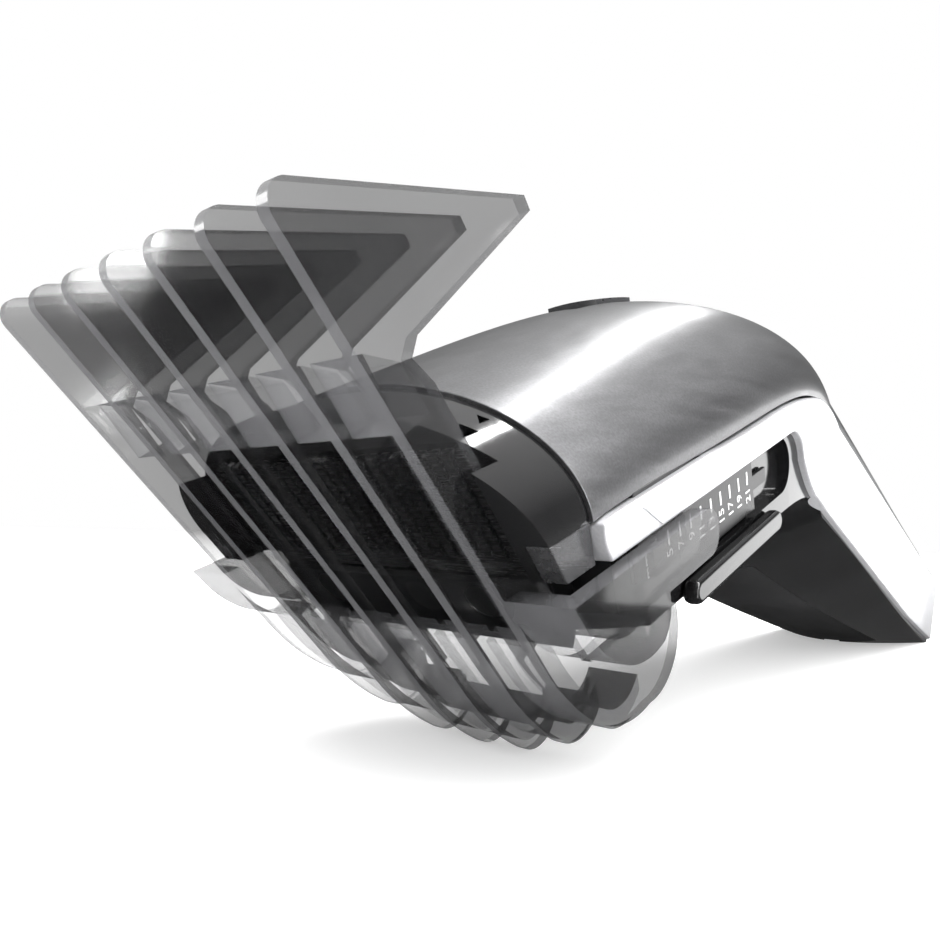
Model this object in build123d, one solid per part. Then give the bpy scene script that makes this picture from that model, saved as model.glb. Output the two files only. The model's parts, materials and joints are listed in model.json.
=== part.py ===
from build123d import *
from math import cos, radians, sin
import os

# Cordless hair clipper with a sliding seven-tooth comb, standing on the heel of its comb and
# on the foot of its bent handle.  Millimetres.
#
# The clipper is drawn in its own body frame first: X across, Y rearward along the comb's slide,
# Z up through the dome, with the top front corner of the comb teeth near the origin.  At the end
# every piece is pitched and lifted into the standing frame, where the floor is Z = 0.

# ---- driving dimensions ---------------------------------------------------------------------
PITCH = 20.4              # the body axis rises this many degrees towards the rear when standing
STAND_Y = -90.555          # places the middle of the standing clipper at Y = 0
STAND_Z = 36.21           # lifts the comb's heel and the handle's foot to the floor

TOOTH_COUNT = 7
TOOTH_PITCH = 5.3
TOOTH_THICK = 0.9
HEEL_DROPS = [0.0, 4.4, 7.2, 7.8, 7.2, 4.4, 0.0]   # how much further down each tooth's heel reaches

BODY_HALF = 20.0          # half width of the body
WALL = 1.8                # wall of the mouldings
SEAM_GAP = 0.20           # the shells stop this far short of each other at the seam
SEAM_Z = -21.6            # height of the seam between the dome and the lower housing
DOME_FRONT = 15.2         # where the dome starts
HOUSING_FRONT = 20.6      # where the lower housing starts
HANDLE_ANGLE = -32.8      # slope of the handle below the body axis
HANDLE_START = (69.0, -28.0)
BAND_PROUD = 0.7          # the bright side bands stand out this far
BAND_DEEP = 0.9           # and are let in this far

MOTOR_RADIUS = 8.2
MOTOR_Z = -21.6
MOTOR_FRONT = 28.0
MOTOR_LENGTH = 25.0
CRANK_OFFSET = 1.0        # eccentric pin's offset, half the blade's stroke
CELL_RADIUS = 7.0
CELL_LENGTH = 49.0
FIT = 0.05                # radial running clearance

BIG = 400.0


# ---- small helpers --------------------------------------------------------------------------
def side_face(points):
    """A face in the side view from (y, z) corner points."""
    return make_face(Polyline(*[(0, y, z) for y, z in points], close=True))


def across(face, half_width):
    """Extrude a side-view face evenly to both sides of the middle plane."""
    return extrude(face, amount=half_width, dir=(1, 0, 0), both=True)


def between(face, x_low, x_high):
    """Extrude a side-view face from one x to another."""
    return Pos(x_low, 0, 0) * extrude(face, amount=x_high - x_low, dir=(1, 0, 0))


def block(x_low, x_high, y_low, y_high, z_low, z_high):
    size = (x_high - x_low, y_high - y_low, z_high - z_low)
    middle = ((x_low + x_high) / 2, (y_low + y_high) / 2, (z_low + z_high) / 2)
    return Pos(*middle) * Box(*size)


def rod_y(radius, x, z, y_low, y_high):
    """A cylinder along the body axis."""
    return Pos(x, (y_low + y_high) / 2, z) * Rot(90, 0, 0) * Cylinder(radius, y_high - y_low)


def both_sides(shape):
    return shape + mirror(shape, about=Plane.YZ)


def station(y, z, angle):
    """A plane across the body, its local y pointing away from the seam towards the dome."""
    tilt = radians(angle)
    return Plane(origin=(0, y, z), x_dir=(-1, 0, 0), z_dir=(0, cos(tilt), sin(tilt)))


# ---- the comb's slanted working plane ---------------------------------------------------------
FRONT_TOP = (-1.25, -1.65)
FRONT_TILT = radians(-66.09)
ALONG = (cos(FRONT_TILT), sin(FRONT_TILT))      # down the front edge of a tooth
INWARD = (-ALONG[1], ALONG[0])                  # from the skin towards the cutter


def work(length, depth):
    """A side-view point: so far down the teeth, so deep behind their front edges."""
    y = FRONT_TOP[0] + length * ALONG[0] + depth * INWARD[0]
    z = FRONT_TOP[1] + length * ALONG[1] + depth * INWARD[1]
    return (y, z)


def slanted(length_low, length_high, depth_low, depth_high, half_width):
    """A block lying in the slanted working plane."""
    corners = [work(length_low, depth_low), work(length_high, depth_low),
               work(length_high, depth_high), work(length_low, depth_high)]
    return across(side_face(corners), half_width)


# ---- body sections ----------------------------------------------------------------------------
# Each station: y, z of the seam, slope, half width, dome height, side depth, belly height.
STATIONS = [
    (DOME_FRONT, SEAM_Z, 0.0, 20.0, 10.8, 10.4, 0.6),
    (36.0, SEAM_Z, 0.0, 20.0, 12.3, 10.4, 0.6),
    (52.0, SEAM_Z - 0.1, -5.0, 20.0, 12.2, 10.4, 1.2),
    (61.5, SEAM_Z - 1.6, -18.0, 19.8, 11.4, 10.6, 3.2),
    (69.0, -28.0, -30.0, 19.3, 10.4, 10.8, 4.8),
    (100.0, -47.98, HANDLE_ANGLE, 17.4, 8.6, 11.8, 5.4),
    (130.0, -67.31, HANDLE_ANGLE, 15.6, 7.0, 13.2, 3.8),
    (162.0, -87.94, HANDLE_ANGLE, 14.2, 5.4, 13.6, 2.4),
]
ELBOW = 4                 # the station where the dome ends and the handle's back cover starts


def dome_section(place, inset):
    y, z, angle, half, height, side, belly = place
    rx = half - inset
    base = -1.0 if inset else 0.0       # a hollow runs on past the seam, so it leaves no skin there
    arc = EllipticalCenterArc((0, base), rx, height - inset - base, arc_size=180)
    return station(y, z, angle) * make_face([arc, Line((-rx, base), (rx, base))])


def lower_section(place, inset, top):
    y, z, angle, half, height, side, belly = place
    rx = half - inset
    edge = min(side, side + belly - inset - 0.3)
    bottom = side + belly - inset
    edges = [
        Line((-rx, top), (rx, top)),
        Line((rx, top), (rx, -edge)),
        ThreePointArc((rx, -edge), (0, -bottom), (-rx, -edge)),
        Line((-rx, -edge), (-rx, top)),
    ]
    return station(y, z, angle) * make_face(edges)


def dome_form(first, last, inset=0.0):
    return loft([dome_section(place, inset) for place in STATIONS[first:last]])


def two_lofts(sections):
    return loft(sections[:ELBOW + 1]) + loft(sections[ELBOW:])


def lower_form(inset=0.0):
    top = 1.0 if inset else -SEAM_GAP
    return two_lofts([lower_section(place, inset, top) for place in STATIONS])


def wider(extra, top, drop):
    """The outer form with its sides moved out (or in), its top and its underside further off."""
    places = [(y, z, a, half + extra, h, side + drop, belly) for y, z, a, half, h, side, belly in STATIONS]
    return two_lofts([lower_section(place, 0.0, top) for place in places])


# ---- handle frame -----------------------------------------------------------------------------
HANDLE = station(HANDLE_START[0], HANDLE_START[1], HANDLE_ANGLE)


def in_handle(along, deep):
    """A side-view point: so far along the handle, so deep below its seam."""
    tilt = radians(HANDLE_ANGLE)
    y = HANDLE_START[0] + along * cos(tilt) + deep * sin(tilt)
    z = HANDLE_START[1] + along * sin(tilt) - deep * cos(tilt)
    return (y, z)


def handle_block(along_low, along_high, deep_low, deep_high, half_width, x_middle=0.0):
    corners = [in_handle(along_low, deep_low), in_handle(along_high, deep_low),
               in_handle(along_high, deep_high), in_handle(along_low, deep_high)]
    return Pos(x_middle, 0, 0) * across(side_face(corners), half_width)


def handle_rod(radius, x, deep, along_low, along_high):
    """A cylinder along the handle."""
    y, z = in_handle(along_low, deep)
    place = Plane(origin=(x, y, z), x_dir=(-1, 0, 0), z_dir=HANDLE.z_dir)
    return extrude(place * Circle(radius), amount=along_high - along_low)


def handle_end():
    """The rounded tongue outline and the swept-up underside that every handle piece stays within."""
    straight = 93.0
    reach = 109.0
    half = 20.0
    near = 15.2
    edges = [
        Polyline((-near, straight), (-half, straight - 40), (-half, -90), (half, -90),
                 (half, straight - 40), (near, straight)),
        ThreePointArc((near, straight), (near * 0.74, straight + 0.69 * (reach - straight)), (0, reach)),
        ThreePointArc((0, reach), (-near * 0.74, straight + 0.69 * (reach - straight)), (-near, straight)),
    ]
    y, z = in_handle(0, 60)
    tilt = radians(HANDLE_ANGLE)
    plan = Plane(origin=(0, y, z), x_dir=(1, 0, 0), z_dir=(0, -sin(tilt), cos(tilt)))
    tongue = extrude(plan * make_face(edges), amount=120)
    toe = [(137.0, -91.2), (151.0, -92.2), (163.5, -88.0)]
    under = make_face([
        Polyline((0, 166, -70), (0, 166, 40), (0, -10, 40), (0, -10, -120), (0, *toe[0])),
        ThreePointArc((0, *toe[0]), (0, *toe[1]), (0, *toe[2])),
        Line((0, *toe[2]), (0, 166, -70)),
    ])
    return tongue & across(under, 30)


# ---- comb -------------------------------------------------------------------------------------
TOOTH_X = [(TOOTH_COUNT - 1) / 2 * TOOTH_PITCH - i * TOOTH_PITCH for i in range(TOOTH_COUNT)]
FRONT_LENGTH = 32.4       # straight part of the outer teeth's front edge
HEEL_MIDDLE = (17.0, -38.6)
HEEL_REAR = (25.3, -39.5)
BLADE_DEPTH = 4.0         # how deep the inner teeth reach towards the cutter
WALL_SET = 0.9            # the bowl's wall lies this far inside the tooth ridges
BOWL_WALL = 1.5
RIDGE_THICK = 3.0         # each inner tooth's ridge round the heel, from its outer edge inwards


def heel_of(drop):
    """A tooth's heel: length of its straight front edge, then the heel's middle and rear points."""
    middle = (HEEL_MIDDLE[0] + 0.42 * drop, HEEL_MIDDLE[1] - 0.93 * drop)
    return FRONT_LENGTH + 0.85 * drop, middle, (HEEL_REAR[0], HEEL_REAR[1] - 0.75 * drop)


OUTER_HEEL = (FRONT_LENGTH, HEEL_MIDDLE, (25.3, -41.4))
SIDE_HEEL = (27.0, (13.0, -30.6), (19.4, -31.9))


def heel_edges(heel, inset):
    """Two tangent arcs that run from a front edge round the heel, moved inward by the inset."""
    length, middle, rear = heel
    first = TangentArc((0, *work(length, inset)), (0, middle[0] + 0.665 * inset, middle[1] + 0.747 * inset),
                       tangent=(0, *ALONG))
    second = TangentArc(first @ 1, (0, rear[0], rear[1] + inset), tangent=first % 1)
    return first, second


def heel_strip(heel, inset, thick, start=None):
    """Side view of a wall that follows the heel; start lengthens it up the front edge."""
    outer = heel_edges(heel, inset)
    inner = heel_edges(heel, inset + thick)
    edges = [outer[0], outer[1], Line(outer[1] @ 1, inner[1] @ 1), inner[1], inner[0]]
    if start:
        top_out = (0, *work(start, inset))
        top_in = (0, *work(start, inset + thick))
        edges += [Line(inner[0] @ 0, top_in), Line(top_in, top_out), Line(top_out, outer[0] @ 0)]
    else:
        edges += [Line(inner[0] @ 0, outer[0] @ 0)]
    return make_face(edges)


FIN_TIP = (18.6, -1.3)
FIN_HEEL = (19.0, -2.2)
NECK = [(6.4, -7.9), (5.6, -9.0)]


def fin_face(depth_low):
    """The tooth's upper fin and straight blade, down to the start of the heel."""
    start = work(0.0, 0.0)
    crown = (0.08, 0.1)
    corner = TangentArc((0, *start), (0, *crown), tangent=(0, -ALONG[0], -ALONG[1]))
    rear = [(0, *FIN_TIP), (0, *FIN_HEEL)] + [(0, *p) for p in NECK] + [(0, *work(11.5, depth_low))]
    return corner, rear


def tooth_face(drop):
    """Side view of an inner tooth: fin, slim blade and a ridge round the heel."""
    heel = heel_of(drop)
    corner, rear = fin_face(BLADE_DEPTH)
    blade = make_face([
        corner,
        Polyline(corner @ 1, *rear, (0, *work(heel[0], BLADE_DEPTH)), (0, *work(heel[0], 0)), corner @ 0),
    ])
    return blade + heel_strip(heel, 0.0, RIDGE_THICK)


SIDE_TOP = -33.6          # the bowl's sides end just below the body


def outer_tooth_face():
    """Side view of an end tooth: it also closes the side of the bowl below the body."""
    corner, rear = fin_face(BLADE_DEPTH - 0.1)
    first, second = heel_edges(OUTER_HEEL, 0.0)
    return make_face([
        corner,
        Polyline(corner @ 1, *rear, (0, *work(26.5, 4.0)), (0, 17.6, SIDE_TOP), (0, 31.6, SIDE_TOP)),
        ThreePointArc((0, 31.6, SIDE_TOP), (0, 30.6, -39.6), second @ 1),
        second,
        first,
        Line(first @ 0, corner @ 0),
    ])


def comb():
    """One clear moulding: seven tooth plates, neck bar, bowl and the two side arms."""
    half = TOOTH_THICK / 2
    body = None
    for x, drop in zip(TOOTH_X, HEEL_DROPS):
        outer = abs(x) > TOOTH_X[0] - 0.1
        face = outer_tooth_face() if outer else tooth_face(drop)
        plate = between(face, x - half, x + half)
        body = plate if body is None else body + plate
    for i in range(TOOTH_COUNT - 1):
        drop = (HEEL_DROPS[i] + HEEL_DROPS[i + 1]) / 2
        wall = heel_strip(heel_of(drop), WALL_SET, BOWL_WALL, start=FRONT_LENGTH - 1.0)
        body += between(wall, TOOTH_X[i + 1], TOOTH_X[i])
    neck = side_face([(2.9, -8.2), (5.5, -9.1), (7.0, -12.3), (4.6, -12.9)])
    body += across(neck, TOOTH_X[0])
    return body + both_sides(comb_side())


ARM_IN = 20.3
ARM_OUT = 21.8
ARM_TOP = -24.95


def comb_side():
    """The shoulder that widens the comb past the body, and the arm that runs along its side."""
    shoulder = heel_strip(SIDE_HEEL, 0.0, 1.6, start=24.5)
    shoulder = shoulder & side_face([(0, ARM_TOP), (30, ARM_TOP), (30, -60), (0, -60)])
    ramp = between(shoulder, TOOTH_X[0] + TOOTH_THICK / 2 - 0.1, ARM_OUT)
    first, second = heel_edges(SIDE_HEEL, 0.0)
    plate = make_face([
        first,
        second,
        ThreePointArc(second @ 1, (0, 20.5, -30.8), (0, 20.9, -28.8)),
        Line((0, 20.9, -28.8), (0, 28.4, -28.8)),
        ThreePointArc((0, 28.4, -28.8), (0, 30.2, -26.9), (0, 28.4, ARM_TOP)),
        Polyline((0, 28.4, ARM_TOP), (0, work(25.3, 0)[0], ARM_TOP), first @ 0),
    ])
    return ramp + between(plate, ARM_IN, ARM_OUT)


# ---- cutter and head --------------------------------------------------------------------------
GUARD_DEPTH = 5.0
GUARD_THICK = 0.8
BLADE_GAP = 0.03
GUARD_TOP = 17.4
GUARD_LOW = 28.4
GUARD_HALF = 14.4
MOVING_HALF = 12.6
FINE_PITCH = 1.2
FINE_SLOT = 0.5


def fine_teeth(plate, half, length_low, length_high, depth_low, depth_high):
    """Cut the row of fine slots into the top edge of a blade."""
    count = int(half / FINE_PITCH)
    for i in range(-count, count + 1):
        slot = slanted(length_low, length_high, depth_low, depth_high, FINE_SLOT / 2)
        plate -= Pos(i * FINE_PITCH, 0, 0) * slot
    return plate


def guard_blade():
    """The fixed steel blade with its long fine teeth."""
    near = GUARD_DEPTH
    far = near + GUARD_THICK
    plate = slanted(GUARD_TOP, GUARD_LOW, near, far, GUARD_HALF)
    return fine_teeth(plate, GUARD_HALF - 0.9, GUARD_TOP - 1, GUARD_TOP + 9.4, near - 1, far + 1)


MOVING_NEAR = GUARD_DEPTH + GUARD_THICK + BLADE_GAP
MOVING_FAR = MOVING_NEAR + 0.7
CARRIER_FAR = MOVING_FAR + 2.0


def moving_blade():
    """The steel blade that shears behind the guard."""
    plate = slanted(GUARD_TOP + 0.6, GUARD_LOW - 1.5, MOVING_NEAR, MOVING_FAR, MOVING_HALF)
    return fine_teeth(plate, MOVING_HALF - 0.9, GUARD_TOP - 1, GUARD_TOP + 5, MOVING_NEAR - 1, MOVING_FAR + 1)


FORK_Z = MOTOR_Z
FORK_REAR = 23.0


def blade_carrier():
    """Plastic carrier: a bar on the moving blade and a fork that the eccentric pin turns in."""
    bar = slanted(20.6, 26.4, MOVING_FAR, CARRIER_FAR, 8.0)
    fork = block(-4.9, 4.9, 13.4, FORK_REAR, FORK_Z - 3.6, FORK_Z + 3.6)
    fork &= across(side_face([work(10, MOVING_FAR + 0.2), work(34, MOVING_FAR + 0.2), (40, -30), (40, -10)]), 20)
    slot = block(-3.4, 3.4, 17.6, FORK_REAR + 1, FORK_Z - 2.4, FORK_Z + 2.4)
    return bar + fork - slot


HEAD_HALF = 17.8
HEAD_REAR = 19.4
CHEEK_LOW = -24.6
CHEEK_IN = 16.8           # outside the teeth the cheeks come further forward
CHEEK_DEPTH = 2.5
COWL_HALF = 19.7
COWL_HEIGHT = 10.5


def arch(y_front, y_rear, half, height):
    """A half-ellipse bar above the seam."""
    face = dome_section((y_front, SEAM_Z, 0.0, half, height, 0, 0), 0.0)
    return extrude(face, amount=y_rear - y_front, dir=(0, 1, 0))


def behind(depth):
    """Side view of everything at least so deep behind the teeth's front edges."""
    return side_face([work(-10, depth), work(40, depth), (60, -40), (60, 20)])


def head_form():
    """Arched cowl flush with the dome's mouth, its plug inside the dome, and the jaw inside the comb."""
    cowl = arch(2.0, DOME_FRONT - 0.05, COWL_HALF, COWL_HEIGHT)
    plug = arch(DOME_FRONT - 1, HEAD_REAR, HEAD_HALF, 8.6)
    cheeks = block(-HEAD_HALF, HEAD_HALF, 2.0, HEAD_REAR, CHEEK_LOW, SEAM_Z)
    jaw = across(make_face([
        Polyline((0, HEAD_REAR, SEAM_Z), (0, 2, SEAM_Z), (0, 2, -34.4), (0, 14.4, -34.4)),
        ThreePointArc((0, 14.4, -34.4), (0, 18.0, -33.0), (0, HEAD_REAR, -29.6)),
        Line((0, HEAD_REAR, -29.6), (0, HEAD_REAR, SEAM_Z)),
    ]), 14.5)
    room = across(behind(GUARD_DEPTH), CHEEK_IN) + both_sides(between(behind(CHEEK_DEPTH), CHEEK_IN, 30))
    return (cowl + plug + cheeks + jaw) & room


def head_frame():
    """Black head moulding with its pocket for the blades and the way through for the fork."""
    frame = head_form()
    frame -= slanted(GUARD_TOP - 0.2, GUARD_LOW + 0.1, -5, GUARD_DEPTH + GUARD_THICK, GUARD_HALF + 0.1)
    frame -= slanted(GUARD_TOP - 1.0, GUARD_TOP + 0.5, -5, GUARD_DEPTH + GUARD_THICK + 1.2, GUARD_HALF + 0.1)
    frame -= slanted(GUARD_TOP - 0.2, GUARD_LOW - 1.0, -5, CARRIER_FAR + 0.5, MOVING_HALF + 1.3)
    frame -= block(-7.4, 7.4, 10, HEAD_REAR + 1, FORK_Z - 4.3, FORK_Z + 4.3)
    for x in (-HEAD_SCREW_X, HEAD_SCREW_X):
        frame -= slant_rod(0.86, x, HEAD_SCREW_LENGTH, 4, 9.0)
    return frame


HEAD_SCREW_X = 9.0
HEAD_SCREW_LENGTH = 31.0


def slant_rod(radius, x, length, depth_low, depth_high):
    """A cylinder square to the working plane."""
    y, z = work(length, depth_low)
    place = Plane(origin=(x, y, z), x_dir=(1, 0, 0), z_dir=(0, *INWARD))
    return extrude(place * Circle(radius), amount=depth_high - depth_low)


def head_plate():
    """Black cover plate below the guard, screwed to the jaw."""
    plate = slanted(GUARD_LOW + 0.3, 34.6, GUARD_DEPTH - 0.75, GUARD_DEPTH - 0.02, 14.2)
    for x in (-HEAD_SCREW_X, HEAD_SCREW_X):
        plate -= slant_rod(1.0, x, HEAD_SCREW_LENGTH, 2, 9)
        plate -= slant_rod(1.75, x, HEAD_SCREW_LENGTH, 2, GUARD_DEPTH - 0.35)
    return plate


def head_screws():
    """Two small screws that hold the cover plate to the jaw."""
    screws = None
    for x in (-HEAD_SCREW_X, HEAD_SCREW_X):
        screw = slant_rod(0.84, x, HEAD_SCREW_LENGTH, GUARD_DEPTH - 0.4, 8.6)
        screw += slant_rod(1.7, x, HEAD_SCREW_LENGTH, GUARD_DEPTH - 0.7, GUARD_DEPTH - 0.36)
        screws = screw if screws is None else screws + screw
    return screws


def head_trim(side):
    """Grey corner piece that closes the body's side in front of the bright band and behind it."""
    top = SEAM_Z - 0.02
    rear = HOUSING_FRONT - 0.1
    corner = side_face([(0, top), (0, CHEEK_LOW), (DOME_FRONT - 0.05, CHEEK_LOW), (DOME_FRONT - 0.05, top)])
    tail = side_face([(12, top), (12, CHEEK_LOW), (rear, CHEEK_LOW), (rear, top)])
    front = between(corner & behind(CHEEK_DEPTH), HEAD_HALF + 0.02, BODY_HALF - 0.3)
    trim = front + between(tail & behind(CHEEK_DEPTH), HEAD_HALF + 0.02, BODY_HALF - BAND_DEEP - 0.05)
    return trim if side > 0 else mirror(trim, about=Plane.YZ)


# ---- shells -----------------------------------------------------------------------------------
BAND_LOW = -24.6
BAND_FRONT = DOME_FRONT + 0.1


def band_outline():
    """Side view of the bright band: along the body, round the elbow and down the handle."""
    return make_face([
        ThreePointArc((0, BAND_FRONT + 0.5, BAND_LOW), (0, BAND_FRONT, BAND_LOW + 1.5), (0, BAND_FRONT + 0.1, SEAM_Z)),
        Polyline((0, BAND_FRONT + 0.1, SEAM_Z), (0, 52.0, SEAM_Z - 0.1)),
        ThreePointArc((0, 52.0, SEAM_Z - 0.1), (0, 60.9, SEAM_Z - 1.6), (0, 68.0, -27.3)),
        Polyline((0, 68.0, -27.3), (0, *in_handle(0.5, 0.1)), (0, *in_handle(112.0, 0.1)),
                 (0, *in_handle(112.0, 12.6)), (0, *in_handle(66.0, 12.4)), (0, *in_handle(-6.5, 10.2))),
        ThreePointArc((0, *in_handle(-6.5, 10.2)), (0, 56.2, -31.0), (0, 54.6, BAND_LOW - 3.6)),
        ThreePointArc((0, 54.6, BAND_LOW - 3.6), (0, 53.6, BAND_LOW - 1.0), (0, 51.2, BAND_LOW)),
        Line((0, 51.2, BAND_LOW), (0, BAND_FRONT + 0.5, BAND_LOW)),
    ])


def handle_end_wide(extra):
    return scale(handle_end(), by=(1 + extra / 15.2, 1, 1))


def band_zone(top):
    """Where the bright bands lie: from a little inside the body's sides outwards."""
    zone = wider(BAND_PROUD, top, 4) & across(band_outline(), 40)
    return zone - wider(-BAND_DEEP, 2.0, 8)


def side_bands():
    """Both bright bands, standing a little proud of the body's sides."""
    return (band_zone(-SEAM_GAP) & handle_end_wide(BAND_PROUD)) - standing_floor(0.4)


def one_side(shape, side):
    """Only the part of a shape on the right (+1) or left (-1) of the middle plane."""
    return shape & block(min(0, side * BIG), max(0, side * BIG), -BIG, BIG, -BIG, BIG)


def floor_line(y, above=0.0):
    """Body-frame height of the standing floor below a point y."""
    tilt = radians(PITCH)
    return (above - STAND_Z - y * sin(tilt)) / cos(tilt)


def hollow_limit():
    """Keeps the inside of the shells clear of the handle's end wall and of the flat foot."""
    tilt = radians(HANDLE_ANGLE)
    end = scale(handle_end(), by=(0.87, 1, 1))
    end = Pos(0, -2.2 * cos(tilt), -2.2 * sin(tilt)) * end
    above = side_face([(-10, 60), (-10, floor_line(-10, 2.2)), (200, floor_line(200, 2.2)), (200, 60)])
    return end & across(above, 40)


def handle_post(radius, x, along, deep_low, deep_high):
    """A cylinder square to the handle's seam."""
    tilt = radians(HANDLE_ANGLE)
    y, z = in_handle(along, deep_high)
    place = Plane(origin=(x, y, z), x_dir=(1, 0, 0), z_dir=(0, -sin(tilt), cos(tilt)))
    return extrude(place * Circle(radius), amount=deep_high - deep_low)


SWITCH_REAR = 55.0
SWITCH_LENGTH = 7.0
SWITCH_TRAVEL = 4.0
SWITCH_HALF = 3.0
LIGHT_Y = 63.5
LIGHT_RADIUS = 1.1


def top_shell():
    """Satin metal-look dome over the motor, from the mouth to the elbow."""
    shell = dome_form(0, ELBOW + 1) - dome_form(0, ELBOW + 1, WALL)
    shell -= block(-SWITCH_HALF - 0.1, SWITCH_HALF + 0.1, SWITCH_REAR - SWITCH_LENGTH - SWITCH_TRAVEL - 0.1,
                   SWITCH_REAR + 0.1, -14, 0)
    return shell - Pos(0, LIGHT_Y, -10) * Cylinder(LIGHT_RADIUS, 10)


SCREW_PLACES = (59.5, 83.5)
BOSS_SPLIT = 8.4
HEAD_SEAT = 12.4


def rear_cover():
    """Dark back cover of the handle, with the posts that the screws bite into."""
    outer = dome_form(ELBOW, len(STATIONS)) & handle_end()
    cover = outer - (dome_form(ELBOW, len(STATIONS), WALL) & hollow_limit())
    for along in SCREW_PLACES:
        post = handle_post(2.4, 0, along, -7.5, BOSS_SPLIT)
        cover += post & (dome_form(ELBOW, len(STATIONS), 0.6) + handle_block(-5, 100, 0, 20, 20))
        cover -= handle_post(0.95, 0, along, -3.0, BOSS_SPLIT + 1)
    return cover


def standing_floor(above=0.0):
    """Everything below the floor, or below a little above it, in the body frame."""
    line = [(-60, floor_line(-60, above)), (260, floor_line(260, above)), (260, -300), (-60, -300)]
    return across(side_face(line), 60)


RECESS_TOP = BAND_LOW
RECESS_LOW = -30.1
RECESS_FLOOR = 18.9
RECESS_END = 52.0


def recess(side):
    """Side channel that the comb's slider runs in."""
    slot = make_face([
        Polyline((0, 52.0 - 2.6, RECESS_TOP), (0, 10, RECESS_TOP), (0, 10, RECESS_LOW), (0, 52.0 - 2.6, RECESS_LOW)),
        ThreePointArc((0, RECESS_END - 2.6, RECESS_LOW), (0, RECESS_END, (RECESS_LOW + RECESS_TOP) / 2),
                      (0, RECESS_END - 2.6, RECESS_TOP)),
    ])
    cut = between(slot, RECESS_FLOOR, BODY_HALF + 3)
    return cut if side > 0 else mirror(cut, about=Plane.YZ)


def pad_form():
    """The strip of the handle's belly that the soft grip pad fills."""
    return (lower_form() - lower_form(1.0)) & handle_block(10, 82, 7, 30, 8.5) & handle_end()


SOCKET_DEEP = 3.1
SOCKET_ZONE = (96.0, 112.0, SOCKET_DEEP - 2.7, SOCKET_DEEP + 2.7, 5.0)


def lower_housing():
    """Black lower moulding: floor and sides of the body, belly of the handle and its foot."""
    housing = lower_form() & handle_end()
    housing &= block(-40, 40, HOUSING_FRONT, 300, -300, 100)
    housing -= lower_form(WALL) & hollow_limit()
    for along in SCREW_PLACES:
        post = handle_post(3.2, 0, along, BOSS_SPLIT + 0.05, HEAD_SEAT + 3) & lower_form(0.8)
        housing += post
        housing -= handle_post(1.15, 0, along, BOSS_SPLIT - 2, 30)
        housing -= handle_post(2.1, 0, along, HEAD_SEAT, 30)
    housing -= band_zone(0.5)
    housing -= recess(1)
    housing -= recess(-1)
    housing -= pad_form()
    housing -= handle_block(*SOCKET_ZONE)
    return housing - standing_floor()


def grip_pad():
    return pad_form() - standing_floor(0.5)


def guide_rail(side):
    """Raised round-ended rail below the comb's slider."""
    middle = -31.35
    edges = make_face([
        Line((0, 27.0, middle + 1.05), (0, 44.4, middle + 1.05)),
        ThreePointArc((0, 44.4, middle + 1.05), (0, 45.45, middle), (0, 44.4, middle - 1.05)),
        Line((0, 44.4, middle - 1.05), (0, 27.0, middle - 1.05)),
        ThreePointArc((0, 27.0, middle - 1.05), (0, 25.95, middle), (0, 27.0, middle + 1.05)),
    ])
    rail = between(edges, BODY_HALF + 0.02, BODY_HALF + 1.4)
    return rail if side > 0 else mirror(rail, about=Plane.YZ)


def comb_slider(side):
    """Black strip with the length scale; the comb's arm clips over its front pip."""
    strip = block(RECESS_FLOOR + 0.08, 19.7, 20.9, 43.0, -29.7, -25.1)
    strip += block(19.6, 20.25, 22.0, 24.0, -28.2, -25.9)
    finger = block(RECESS_FLOOR + 0.08, 19.4, 42.9, 47.0, -28.1, -26.7)
    strip += finger
    return strip if side > 0 else mirror(strip, about=Plane.YZ)


def power_slider():
    """Thumb slider of the on/off switch, with the flange that keeps it in the dome."""
    front = SWITCH_REAR - SWITCH_LENGTH
    button = block(-SWITCH_HALF, SWITCH_HALF, front, SWITCH_REAR, -12.6, -8.0)
    button &= dome_form(0, ELBOW + 1, -0.5)
    ribs = None
    for i in range(4):
        groove = block(-SWITCH_HALF - 1, SWITCH_HALF + 1, front + 1.2 + 1.4 * i, front + 1.7 + 1.4 * i, -9.15, -7)
        ribs = groove if ribs is None else ribs + groove
    flange = block(-4.4, 4.4, front - 1.6, SWITCH_REAR + 1.8, -12.9, -12.45)
    nub = block(-1.2, 1.2, SWITCH_REAR - 1.0, SWITCH_REAR + 1.0, -13.8, -12.8)
    return button - ribs + flange + nub


def switch_unit():
    """Electrical slide switch below the thumb slider."""
    return block(-4.0, 4.0, 51.8, 60.0, -18.0, -14.1)


def charge_light():
    return (Pos(0, LIGHT_Y, -10) * Cylinder(LIGHT_RADIUS - 0.05, 8)) & dome_form(0, ELBOW + 1)


# ---- drive ------------------------------------------------------------------------------------
SHAFT_RADIUS = 1.0


def motor():
    """Brushed direct-current motor can with its bearing boss and two terminals."""
    rear = MOTOR_FRONT + MOTOR_LENGTH - 3
    can = rod_y(MOTOR_RADIUS, 0, MOTOR_Z, MOTOR_FRONT, rear)
    can += rod_y(3.0, 0, MOTOR_Z, MOTOR_FRONT - 1.2, MOTOR_FRONT + 1)
    can -= rod_y(SHAFT_RADIUS + FIT, 0, MOTOR_Z, MOTOR_FRONT - 2, rear - 2)
    for x in (-4.5, 4.5):
        can += block(x - 1.0, x + 1.0, rear - 0.5, rear + 2.2, MOTOR_Z - 0.25, MOTOR_Z + 0.25)
    return can


def motor_shaft():
    return rod_y(SHAFT_RADIUS, 0, MOTOR_Z, 23.5, MOTOR_FRONT + MOTOR_LENGTH - 5.2)


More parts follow.
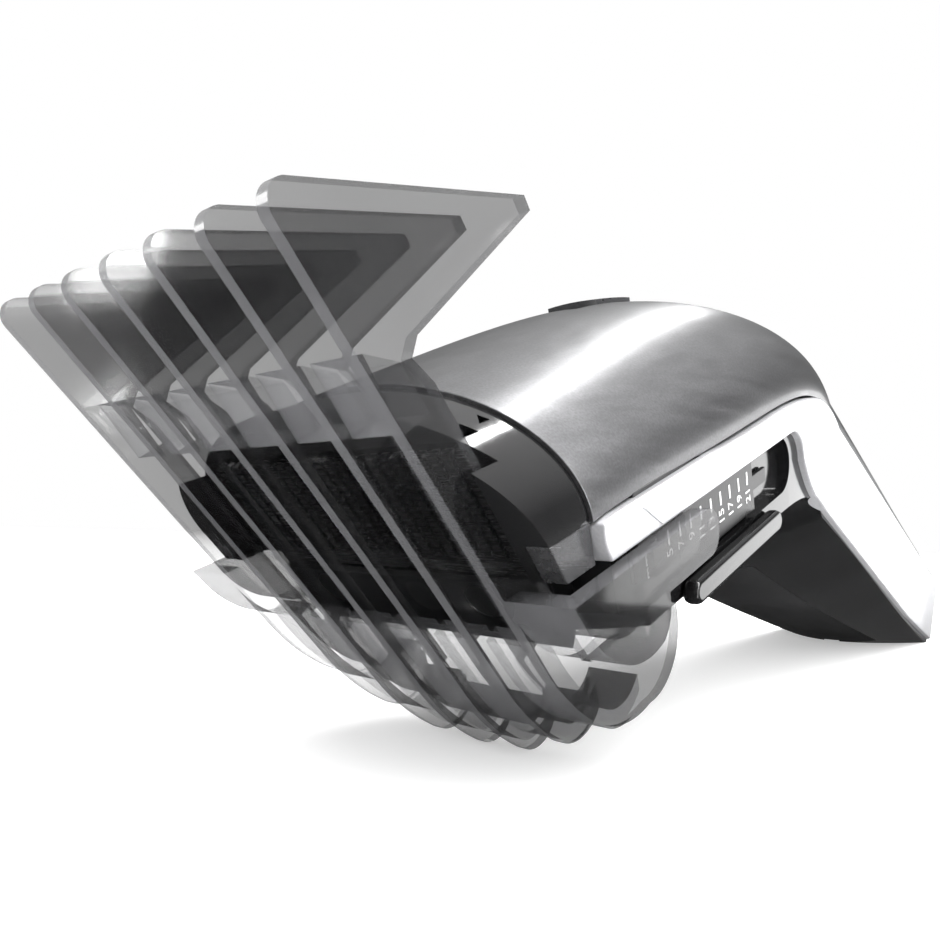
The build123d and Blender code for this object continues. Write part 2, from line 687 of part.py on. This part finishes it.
def eccentric():
    """Disc on the motor shaft whose off-centre pin swings the blade from side to side."""
    disc = rod_y(3.0, 0, MOTOR_Z, 23.5, 26.4) - rod_y(SHAFT_RADIUS, 0, MOTOR_Z, 23.0, 27.0)
    disc += rod_y(3.0, 0, MOTOR_Z, 23.3, 23.5)
    return disc + rod_y(1.0, CRANK_OFFSET, MOTOR_Z, 18.6, 23.4)


def bulkhead(y_front, y_rear, half, height, low):
    return arch(y_front, y_rear, half, height) + block(-half, half, y_front, y_rear, low, SEAM_Z)


def motor_bracket():
    """Bulkhead behind the head with the collar that holds the motor."""
    plate = bulkhead(20.7, 22.4, 17.4, 8.3, -29.9)
    collar = rod_y(9.6, 0, MOTOR_Z, 22.0, 32.0) & bulkhead(20.7, 34.0, 17.4, 8.3, -29.9)
    collar -= rod_y(MOTOR_RADIUS + 0.02, 0, MOTOR_Z, 26.7, 40.0)
    window = block(-7.6, 7.6, 15.0, 23.8, FORK_Z - 4.6, FORK_Z + 4.6)
    return plate + collar - rod_y(5.6, 0, MOTOR_Z, 15.0, 40.0) - window


def head_gasket():
    """Rubber ring squeezed between the head and the motor bulkhead."""
    return bulkhead(HEAD_REAR, 20.65, 17.4, 8.2, -24.3) - bulkhead(15.0, 24.0, 15.0, 6.0, -22.6) - block(
        -7.6, 7.6, 10, 25, FORK_Z - 4.6, FORK_Z + 4.6)


def blade_springs():
    """Two flat springs that press the carrier and moving blade against the guard."""
    leaf = slanted(20.8, 26.2, CARRIER_FAR + 0.04, CARRIER_FAR + 0.36, 0.95)
    return Pos(7.2, 0, 0) * leaf + Pos(-7.2, 0, 0) * leaf


# ---- power ------------------------------------------------------------------------------------
CELL_X = 7.2
CELL_DEEP = 4.2
CELL_START = 3.2


def battery_cells():
    """Two rechargeable cells side by side in the handle."""
    cells = None
    for x in (-CELL_X, CELL_X):
        cell = handle_rod(CELL_RADIUS, x, CELL_DEEP, CELL_START, CELL_START + CELL_LENGTH)
        cell += handle_rod(2.3, x, CELL_DEEP, CELL_START + CELL_LENGTH - 0.5, CELL_START + CELL_LENGTH + 1.0)
        cells = cell if cells is None else cells + cell
    return cells


def cell_contacts():
    """Nickel strips at both ends of the cells."""
    end = CELL_START + CELL_LENGTH + 1.02
    front = handle_block(CELL_START - 0.5, CELL_START - 0.02, CELL_DEEP - 2.4, CELL_DEEP + 2.4, 10.0)
    left = handle_block(end, end + 0.5, CELL_DEEP - 2.4, CELL_DEEP + 2.4, 2.6, -CELL_X)
    right = handle_block(end, end + 0.5, CELL_DEEP - 2.4, CELL_DEEP + 2.4, 2.6, CELL_X)
    return front + left + right


def circuit_board():
    return handle_block(63.4, 80.4, 3.0, 4.2, 11.0)


def board_parts():
    """Transformer, capacitor and chips of the charging circuit."""
    parts = handle_block(66.0, 74.0, 4.22, 10.0, 4.2, -4.5) + handle_block(75.6, 79.6, 4.22, 6.0, 2.6, 5.5)
    return parts + handle_post(2.6, 5.6, 69.5, 4.22, 11.0) + handle_block(75.0, 79.6, 1.8, 2.98, 3.2, -3.0)


def charging_socket():
    """Two-pin low-voltage inlet in the end of the handle."""
    low, high, near, far, half = SOCKET_ZONE
    body = handle_block(low + 0.05, high, near + 0.03, far - 0.03, half - 0.03) & lower_form() & handle_end()
    return body - handle_block(low + 4.0, high + 5, SOCKET_DEEP - 1.7, SOCKET_DEEP + 1.7, 3.7)


def socket_pins():
    pins = None
    for x in (-1.9, 1.9):
        pin = handle_rod(0.5, x, SOCKET_DEEP, SOCKET_ZONE[0] + 4.02, SOCKET_ZONE[0] + 8.0)
        pins = pin if pins is None else pins + pin
    return pins


def housing_screws():
    """Two screws below the grip pad that pull the lower housing and the back cover together."""
    screws = None
    for along in SCREW_PLACES:
        screw = handle_post(0.9, 0, along, -1.0, HEAD_SEAT) + handle_post(1.95, 0, along, HEAD_SEAT + 0.01,
                                                                          HEAD_SEAT + 1.0)
        screw += handle_post(0.9, 0, along, HEAD_SEAT - 0.5, HEAD_SEAT + 0.5)
        screws = screw if screws is None else screws + screw
    return screws


# ---- assembly ---------------------------------------------------------------------------------
def stand(shape):
    """From the body frame into the standing frame, with the floor at Z = 0."""
    return Pos(0, STAND_Y, STAND_Z) * Rot(PITCH, 0, 0) * shape


def main():
    bands = side_bands()
    nodes = {
        "top_shell": top_shell(),
        "rear_cover": rear_cover(),
        "lower_housing": lower_housing(),
        "grip_pad": grip_pad(),
        "side_band_right": one_side(bands, 1),
        "side_band_left": one_side(bands, -1),
        "guide_rail_right": guide_rail(1),
        "guide_rail_left": guide_rail(-1),
        "head_frame": head_frame(),
        "head_cover_plate": head_plate(),
        "head_screws": head_screws(),
        "head_trim_right": head_trim(1),
        "head_trim_left": head_trim(-1),
        "head_gasket": head_gasket(),
        "guard_blade": guard_blade(),
        "moving_blade": moving_blade(),
        "blade_carrier": blade_carrier(),
        "blade_springs": blade_springs(),
        "comb": comb() - standing_floor(),
        "comb_slider_right": comb_slider(1),
        "comb_slider_left": comb_slider(-1),
        "power_slider": power_slider(),
        "switch_unit": switch_unit(),
        "charge_light": charge_light(),
        "motor": motor(),
        "motor_shaft": motor_shaft(),
        "eccentric": eccentric(),
        "motor_bracket": motor_bracket(),
        "battery_cells": battery_cells(),
        "cell_contacts": cell_contacts(),
        "circuit_board": circuit_board(),
        "board_parts": board_parts(),
        "charging_socket": charging_socket(),
        "socket_pins": socket_pins(),
        "housing_screws": housing_screws(),
    }
    os.makedirs("parts", exist_ok=True)
    for name, shape in nodes.items():
        export_step(stand(shape), "parts/" + name + ".step")
        print(name)


if __name__ == "__main__":
    main()
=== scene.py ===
import json
import math

import bmesh
import bpy
from mathutils import Matrix, Vector


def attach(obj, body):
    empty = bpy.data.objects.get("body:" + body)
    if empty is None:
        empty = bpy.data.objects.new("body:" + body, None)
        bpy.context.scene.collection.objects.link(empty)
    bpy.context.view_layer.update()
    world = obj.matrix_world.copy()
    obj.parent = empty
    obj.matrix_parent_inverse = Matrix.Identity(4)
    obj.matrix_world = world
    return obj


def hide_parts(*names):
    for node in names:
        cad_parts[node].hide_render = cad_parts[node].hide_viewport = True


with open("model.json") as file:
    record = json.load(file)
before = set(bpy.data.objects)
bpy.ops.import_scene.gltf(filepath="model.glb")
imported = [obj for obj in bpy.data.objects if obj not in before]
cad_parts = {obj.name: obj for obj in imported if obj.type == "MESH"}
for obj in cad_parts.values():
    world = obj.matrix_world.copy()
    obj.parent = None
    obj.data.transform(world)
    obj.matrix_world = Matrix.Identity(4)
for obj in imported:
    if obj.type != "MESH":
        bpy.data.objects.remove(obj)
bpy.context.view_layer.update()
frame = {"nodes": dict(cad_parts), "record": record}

MM = 0.001

# The body frame of the clipper, as in the part: X across, Y rearward, Z up, in millimetres.
PITCH = math.radians(20.4)
STAND_Y = -90.555
STAND_Z = 36.21
TURN = Matrix.Rotation(PITCH, 4, "X")
STAND = Matrix.Translation((0, STAND_Y * MM, STAND_Z * MM)) @ TURN @ Matrix.Scale(MM, 4)


def at(x, y, z):
    """A body-frame point in millimetres, as metres in the standing frame."""
    return STAND @ Vector((x, y, z))


# ---- materials --------------------------------------------------------------------------------
def link(tree, a, b):
    tree.links.new(a, b)


def node(tree, kind, **inputs):
    made = tree.nodes.new(kind)
    for name, value in inputs.items():
        made.inputs[name.replace("_", " ")].default_value = value
    return made


def shader(name, **settings):
    """A material with one Principled shader, whose sockets are set by name."""
    made = bpy.data.materials.new(name)
    made.use_nodes = True
    main = made.node_tree.nodes["Principled BSDF"]
    for socket, value in settings.items():
        main.inputs[socket.replace("_", " ")].default_value = value
    return made, made.node_tree, main


def coords(tree, scale=(1.0, 1.0, 1.0)):
    """Object coordinates, stretched, turned so that Y runs along the body."""
    place = tree.nodes.new("ShaderNodeTexCoord")
    turn = tree.nodes.new("ShaderNodeMapping")
    turn.inputs["Rotation"].default_value = (-PITCH, 0, 0)
    turn.inputs["Scale"].default_value = scale
    link(tree, place.outputs["Object"], turn.inputs["Vector"])
    return turn.outputs["Vector"]


def noise(tree, where, scale, detail=4.0, rough=0.5):
    made = node(tree, "ShaderNodeTexNoise", Scale=scale, Detail=detail, Roughness=rough)
    link(tree, where, made.inputs["Vector"])
    return made.outputs["Fac"]


def ramp(tree, value, stops):
    made = tree.nodes.new("ShaderNodeValToRGB")
    points = made.color_ramp.elements
    while len(points) < len(stops):
        points.new(0.5)
    for point, (place, colour) in zip(points, stops):
        point.position = place
        point.color = (*colour, 1.0) if len(colour) == 3 else colour
    link(tree, value, made.inputs["Fac"])
    return made.outputs["Color"]


def span(tree, value, low, high):
    """Spreads a 0 to 1 value over low to high."""
    made = tree.nodes.new("ShaderNodeMapRange")
    made.inputs["To Min"].default_value = low
    made.inputs["To Max"].default_value = high
    link(tree, value, made.inputs["Value"])
    return made.outputs["Result"]


def bump(tree, main, height, strength, distance):
    made = node(tree, "ShaderNodeBump", Strength=strength, Distance=distance)
    link(tree, height, made.inputs["Height"])
    link(tree, made.outputs["Normal"], main.inputs["Normal"])


COOL = 0.05                # how much more blue than red a cool grey has


def grey(v, tint=0.0):
    return (v, v, v * (1 + tint))


def metal_paint(name, dark, light, rough, metallic=0.9, coat=0.3):
    """Satin lacquer over fine metal flake, with faint streaks along the body."""
    made, tree, main = shader(name, Metallic=metallic, Coat_Weight=coat, Coat_Roughness=0.12)
    streak = noise(tree, coords(tree, (1.0, 0.03, 1.0)), 900.0, 5.0, 0.6)
    flake = noise(tree, coords(tree), 5200.0, 1.0)
    mixed = tree.nodes.new("ShaderNodeMath")
    mixed.operation = "MULTIPLY"
    link(tree, streak, mixed.inputs[0])
    link(tree, flake, mixed.inputs[1])
    link(tree, ramp(tree, mixed.outputs[0], [(0.12, grey(dark, 0.03)), (0.42, grey(light, 0.03))]),
         main.inputs["Base Color"])
    link(tree, span(tree, streak, rough - 0.05, rough + 0.08), main.inputs["Roughness"])
    bump(tree, main, flake, 0.04, 0.00002)
    return made


def plastic(name, dark, light, rough, bump_strength, grain, coat=0.0, specular=0.5):
    """Moulded plastic with a fine grain and slightly uneven gloss."""
    made, tree, main = shader(name, Coat_Weight=coat, Coat_Roughness=0.04, Specular_IOR_Level=specular)
    where = coords(tree)
    cloud = noise(tree, where, 60.0, 4.0)
    fine = noise(tree, where, grain, 3.0)
    link(tree, ramp(tree, cloud, [(0.35, grey(dark, COOL)), (0.65, grey(light, COOL))]),
         main.inputs["Base Color"])
    link(tree, span(tree, cloud, rough * 0.75, rough * 1.25), main.inputs["Roughness"])
    bump(tree, main, fine, bump_strength, 0.00005)
    return made


def steel(name, dark, light, rough, direction=(0.05, 1.0, 1.0)):
    """Ground steel with scratches across it."""
    made, tree, main = shader(name, Metallic=1.0)
    grain = noise(tree, coords(tree, direction), 4200.0, 6.0, 0.7)
    link(tree, ramp(tree, grain, [(0.3, grey(dark)), (0.7, grey(light))]), main.inputs["Base Color"])
    link(tree, span(tree, grain, rough - 0.06, rough + 0.1), main.inputs["Roughness"])
    bump(tree, main, grain, 0.12, 0.00002)
    return made


def smoked(name, tone, low, high, rough=0.08):
    """Thin smoked moulding: each face holds back the share of light between low and high."""
    made, tree, main = shader(name, Roughness=rough, IOR=1.7, Coat_Weight=0.6, Coat_Roughness=0.05)
    cloud = noise(tree, coords(tree), 55.0, 3.0)
    link(tree, ramp(tree, cloud, [(0.3, grey(tone * 0.8, COOL)), (0.7, grey(tone * 1.2, COOL))]),
         main.inputs["Base Color"])
    link(tree, span(tree, cloud, low, high), main.inputs["Alpha"])
    return made


def coloured(name, dark, light, rough, metallic=0.0, scale=80.0, alpha=1.0):
    """A plain moulded or plated finish in two close colours, with a fine grain."""
    made, tree, main = shader(name, Metallic=metallic, Alpha=alpha)
    where = coords(tree)
    cloud = noise(tree, where, scale, 4.0)
    link(tree, ramp(tree, cloud, [(0.35, dark), (0.65, light)]), main.inputs["Base Color"])
    link(tree, span(tree, cloud, rough * 0.8, rough * 1.2), main.inputs["Roughness"])
    bump(tree, main, noise(tree, where, 2200.0), 0.08, 0.00004)
    return made


LOOKS = {
    "silver_shell": metal_paint("silver_lacquer", 0.19, 0.25, 0.30),
    "bright_band": metal_paint("bright_satin", 0.70, 0.80, 0.30, 0.6, 0.4),
    "trim_grey": metal_paint("trim_lacquer", 0.16, 0.24, 0.26),
    "black_gloss": plastic("black_gloss", 0.005, 0.010, 0.12, 0.004, 900.0, 0.4),
    "dark_cover": plastic("dark_cover", 0.035, 0.05, 0.33, 0.25, 3500.0),
    "black_satin": plastic("black_satin", 0.008, 0.014, 0.28, 0.15, 3200.0),
    "grip_rubber": plastic("grip_rubber", 0.018, 0.03, 0.62, 0.5, 2600.0, specular=0.3),
    "smoked_clear": smoked("smoked_clear", 0.012, 0.36, 0.48),
    # The comb's edge faces, given a lighter tone as a painted highlight, and the thin lines where they
    # turn into its flat sides, painted dark and nearly opaque as painted shade.
    "smoked_rim_painted_highlight": smoked("smoked_rim_painted_highlight", 0.10, 0.56, 0.72, 0.2),
    "smoked_line_painted_shade": smoked("smoked_line_painted_shade", 0.01, 0.88, 0.96, 0.15),
    "cutter_steel": steel("cutter_steel", 0.42, 0.62, 0.25),
    "spring_steel": steel("spring_steel", 0.40, 0.56, 0.30, (1.0, 0.05, 1.0)),
    "screw_steel": steel("screw_steel", 0.36, 0.55, 0.32, (1.0, 1.0, 1.0)),
    "seal_rubber": plastic("seal_rubber", 0.015, 0.025, 0.7, 0.4, 1800.0),
    "switch_cap": plastic("switch_cap", 0.03, 0.045, 0.3, 0.2, 2600.0),
    "light_lens": coloured("light_lens", (0.45, 0.8, 0.5), (0.6, 0.9, 0.65), 0.3, alpha=0.6),
    "motor_can": steel("motor_can", 0.5, 0.66, 0.28, (0.05, 1.0, 1.0)),
    "cell_wrap": coloured("cell_wrap", (0.05, 0.18, 0.09), (0.08, 0.26, 0.13), 0.35),
    "contact_nickel": coloured("contact_nickel", (0.66, 0.64, 0.58), (0.8, 0.78, 0.72), 0.22, 1.0),
    "board": coloured("board", (0.012, 0.12, 0.05), (0.02, 0.2, 0.08), 0.4, scale=240.0),
    "board_black": plastic("board_black", 0.015, 0.03, 0.4, 0.2, 2400.0),
    "print": coloured("scale_print", (0.78, 0.78, 0.78), (0.9, 0.9, 0.9), 0.5),
}

for part in frame["record"]["subparts"]:
    body = frame["nodes"][part["node"]]
    body.data.materials.clear()
    body.data.materials.append(LOOKS[part["material_slot"]])


# ---- printed scale ----------------------------------------------------------------------------
SCALE_FACE = 19.7          # the comb slider's outer face
SCALE_FIRST = 23.6         # place of the tick for 3 mm
SCALE_STEP = 2.0           # from one tick to the next, in body millimetres and in the numbers
SCALE_LEAST = 3            # the first number
TICK_COUNT = 10
TICK_HALF = 0.14
TICK_TOP = -25.75
TICK_FOOT = -26.95
NUMBER_LINE = -27.2        # the numbers end on this line
NUMBER_SIZE = 1.45
UNIT_SIZE = 1.3
UNIT_AT = (SCALE_FIRST - 1.7, -26.3)
PRINT_THICK = 0.03


def finish_piece(name, mesh, body, look):
    piece = bpy.data.objects.new(name, mesh)
    bpy.context.collection.objects.link(piece)
    piece.data.materials.clear()
    piece.data.materials.append(LOOKS[look])
    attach(piece, body)


def plate_mesh(bm, corners, low, high, side):
    """A thin raised patch on the body's side, from side-view corners (y, z)."""
    rings = []
    for x in (low, high):
        rings.append([bm.verts.new(at(side * x, y, z)) for y, z in corners])
    count = len(corners)
    bm.faces.new(rings[0])
    bm.faces.new(list(reversed(rings[1])))
    for i in range(count):
        j = (i + 1) % count
        bm.faces.new((rings[0][i], rings[1][i], rings[1][j], rings[0][j]))


def mesh_from(bm, name):
    bmesh.ops.recalc_face_normals(bm, faces=bm.faces)
    mesh = bpy.data.meshes.new(name)
    bm.to_mesh(mesh)
    bm.free()
    return mesh


def ticks(side, name):
    bm = bmesh.new()
    for i in range(TICK_COUNT):
        y = SCALE_FIRST + SCALE_STEP * i
        front, rear = y - TICK_HALF, y + TICK_HALF
        plate_mesh(bm, [(front, TICK_TOP), (rear, TICK_TOP), (rear, TICK_FOOT), (front, TICK_FOOT)],
                   SCALE_FACE, SCALE_FACE + PRINT_THICK, side)
    finish_piece(name, mesh_from(bm, name), "comb_carriage", "print")


def lettering(text, side, y, z, size, align):
    """Text on the side, its top towards the teeth, as mesh data in the standing frame."""
    curve = bpy.data.curves.new("lettering", "FONT")
    curve.body = text
    curve.size = size
    curve.extrude = PRINT_THICK / 2
    curve.align_x = align
    curve.align_y = "CENTER"
    curve.resolution_u = 3
    holder = bpy.data.objects.new("lettering", curve)
    mesh = bpy.data.meshes.new_from_object(holder)
    right = Vector((0, 0, side))
    up = Vector((0, -1, 0))
    out = Vector((side, 0, 0))
    turn = Matrix((right, up, out)).transposed().to_4x4()
    place = Matrix.Translation((side * (SCALE_FACE + PRINT_THICK / 2), y, z))
    mesh.transform(STAND @ place @ turn)
    bpy.data.objects.remove(holder)
    bpy.data.curves.remove(curve)
    return mesh


def numbers(side, name):
    bm = bmesh.new()
    align = "RIGHT" if side > 0 else "LEFT"
    for i in range(TICK_COUNT):
        text = str(SCALE_LEAST + int(SCALE_STEP) * i)
        mesh = lettering(text, side, SCALE_FIRST + SCALE_STEP * i, NUMBER_LINE, NUMBER_SIZE, align)
        bm.from_mesh(mesh)
        bpy.data.meshes.remove(mesh)
    mesh = lettering("mm", side, *UNIT_AT, UNIT_SIZE, align)
    bm.from_mesh(mesh)
    bpy.data.meshes.remove(mesh)
    finish_piece(name, mesh_from(bm, name), "comb_carriage", "print")


# ---- softened edges ---------------------------------------------------------------------------
JOIN_WITHIN = 2e-6
FLAT_ANGLE = math.radians(0.6)
SHARP_ANGLE = math.radians(32.0)


def softened(name, width):
    """The CAD piece with its sharp edges rounded, as moulded edges are, standing in for its node."""
    source = frame["nodes"][name]
    bm = bmesh.new()
    bm.from_mesh(source.data)
    bmesh.ops.remove_doubles(bm, verts=bm.verts, dist=JOIN_WITHIN)
    bmesh.ops.dissolve_limit(bm, angle_limit=FLAT_ANGLE, verts=bm.verts, edges=bm.edges)
    mesh = mesh_from(bm, name + "_soft")
    piece = bpy.data.objects.new(name + "_soft", mesh)
    bpy.context.collection.objects.link(piece)
    slot = SLOT_OF[name]
    mesh.materials.clear()
    mesh.materials.append(LOOKS[slot])
    mesh.polygons.foreach_set("use_smooth", [True] * len(mesh.polygons))
    mesh.set_sharp_from_angle(angle=SHARP_ANGLE)
    bevel = piece.modifiers.new("edges", "BEVEL")
    bevel.width = width * MM
    bevel.segments = 2
    bevel.limit_method = "ANGLE"
    bevel.angle_limit = SHARP_ANGLE
    bevel.harden_normals = True
    bevel.use_clamp_overlap = True
    # The comb's flat sides keep the smoked look. Its edge faces take the lighter painted highlight, and
    # its rounded edges take the dark painted shade.
    if slot == "smoked_clear":
        mesh.materials.append(LOOKS["smoked_rim_painted_highlight"])
        mesh.materials.append(LOOKS["smoked_line_painted_shade"])
        for face in mesh.polygons:
            face.material_index = 0 if abs(face.normal.x) > 0.5 else 1
        bevel.material = 2
    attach(piece, BODY_OF[name])
    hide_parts(name)


SLOT_OF = {part["node"]: part["material_slot"] for part in frame["record"]["subparts"]}
BODY_OF = {name: body for body, names in frame["record"]["behaviour"]["bodies"].items() for name in names}
# The width of each piece's rounded edges, in millimetres.
SOFT_EDGES = {
    "comb": 0.17, "side_band_right": 0.30, "side_band_left": 0.30, "head_trim_right": 0.08,
    "head_trim_left": 0.08, "guide_rail_right": 0.45, "guide_rail_left": 0.45, "power_slider": 0.15,
    "head_cover_plate": 0.12, "grip_pad": 0.15, "top_shell": 0.12,
    "comb_slider_right": 0.08, "comb_slider_left": 0.08,
}
for name, width in SOFT_EDGES.items():
    softened(name, width)


# ---- small marks ------------------------------------------------------------------------------
BAND_FACE = 20.55
POINTER_PROUD = 0.28
POINTER = [(20.6, -22.35), (22.6, -22.35), (23.0, -24.35)]


def pointer(side, name):
    """The small triangle moulded on the band that reads the comb's scale."""
    bm = bmesh.new()
    plate_mesh(bm, POINTER, BAND_FACE, BAND_FACE + POINTER_PROUD, side)
    finish_piece(name, mesh_from(bm, name), "housing", "bright_band")


for side, word in ((1, "right"), (-1, "left")):
    ticks(side, "scale_ticks_" + word)
    numbers(side, "scale_numbers_" + word)
    pointer(side, "scale_pointer_" + word)


# ---- stage, lights, camera --------------------------------------------------------------------
FLOOR_HALF = 3.0


def floor():
    bm = bmesh.new()
    bmesh.ops.create_grid(bm, x_segments=2, y_segments=2, size=FLOOR_HALF)
    mesh = mesh_from(bm, "floor")
    piece = bpy.data.objects.new("floor", mesh)
    bpy.context.collection.objects.link(piece)
    made, tree, main = shader("floor_paper", Roughness=0.8, Specular_IOR_Level=0.1, Emission_Strength=0.4,
                              Emission_Color=(1.0, 1.0, 1.0, 1.0))
    link(tree, ramp(tree, noise(tree, coords(tree), 8.0), [(0.3, grey(0.86)), (0.7, grey(0.9))]),
         main.inputs["Base Color"])
    mesh.materials.append(made)
    piece.visible_glossy = False
    piece.visible_transmission = False


def area(name, place, target, width, height, power):
    light = bpy.data.lights.new(name, "AREA")
    light.shape = "RECTANGLE"
    light.size = width
    light.size_y = height
    light.energy = power
    lamp = bpy.data.objects.new(name, light)
    bpy.context.collection.objects.link(lamp)
    lamp.location = place
    lamp.rotation_euler = (Vector(target) - Vector(place)).to_track_quat("-Z", "Y").to_euler()
    return lamp


def studio_world():
    """White behind the object; a dim studio with a bright ceiling for everything else."""
    world = bpy.data.worlds.new("studio")
    world.use_nodes = True
    tree = world.node_tree
    back = tree.nodes["Background"]
    split = tree.nodes.new("ShaderNodeSeparateXYZ")
    link(tree, tree.nodes.new("ShaderNodeTexCoord").outputs["Generated"], split.inputs["Vector"])
    height = tree.nodes.new("ShaderNodeMapRange")
    height.inputs["From Min"].default_value = -1.0
    link(tree, split.outputs["Z"], height.inputs["Value"])
    room = ramp(tree, height.outputs["Result"],
                [(0.0, grey(0.05)), (0.42, grey(0.08)), (0.5, grey(0.36)), (0.58, grey(0.17)),
                 (0.72, grey(0.13)), (0.86, grey(0.6)), (1.0, grey(1.0))])
    rays = tree.nodes.new("ShaderNodeLightPath")
    mix = tree.nodes.new("ShaderNodeMixRGB")
    link(tree, rays.outputs["Is Camera Ray"], mix.inputs["Fac"])
    link(tree, room, mix.inputs["Color1"])
    mix.inputs["Color2"].default_value = (1.0, 1.0, 1.0, 1.0)
    link(tree, mix.outputs["Color"], back.inputs["Color"])
    return world


LIGHT_BOUNCES = 32         # enough for light to pass all the comb's clear layers

floor()
bpy.context.scene.world = studio_world()
bpy.context.scene.view_settings.view_transform = "Standard"
bpy.context.scene.cycles.max_bounces = LIGHT_BOUNCES
bpy.context.scene.cycles.transmission_bounces = LIGHT_BOUNCES
bpy.context.scene.cycles.transparent_max_bounces = LIGHT_BOUNCES
area("key_strip", (0.35, 0.10, 0.42), (0.0, -0.02, 0.03), 0.05, 0.9, 3.0)
area("low_fill", (0.60, 0.05, 0.12), (0.0, -0.02, 0.03), 0.20, 1.1, 3.0)
area("rear_fill", (0.34, 0.95, 0.10), (0.0, 0.0, 0.03), 0.5, 0.35, 1.3)
area("overhead", (-0.05, 0.15, 0.6), (0.0, 0.0, 0.03), 0.05, 0.9, 2.0)
area("front_soft", (-0.35, -0.45, 0.25), (0.0, -0.05, 0.02), 0.3, 0.3, 2.0)
floor_wash = area("floor_wash", (0.0, 0.0, 1.6), (0.0, 0.0, 0.0), 2.5, 2.5, 70.0)
floor_wash.visible_glossy = False
floor_wash.visible_transmission = False

# The camera's place in body millimetres and its axes in the body frame.
CAMERA_AT = (46.98, -26.28, -7.22)
CAMERA_RIGHT = Vector((0.75899, 0.61957, -0.20016))
CAMERA_UP = Vector((-0.07682, 0.39048, 0.91740))
camera_data = bpy.data.cameras.new("camera")
camera_data.sensor_width = 36.0
camera_data.lens = 29.63
camera_data.shift_y = 0.1383
camera_data.clip_start = 0.001
camera_data.dof.use_dof = False
camera = bpy.data.objects.new("camera", camera_data)
bpy.context.collection.objects.link(camera)
axes = Matrix((CAMERA_RIGHT, CAMERA_UP, CAMERA_RIGHT.cross(CAMERA_UP))).transposed().to_4x4()
camera.matrix_world = Matrix.Translation(at(*CAMERA_AT)) @ TURN @ axes
bpy.context.scene.camera = camera
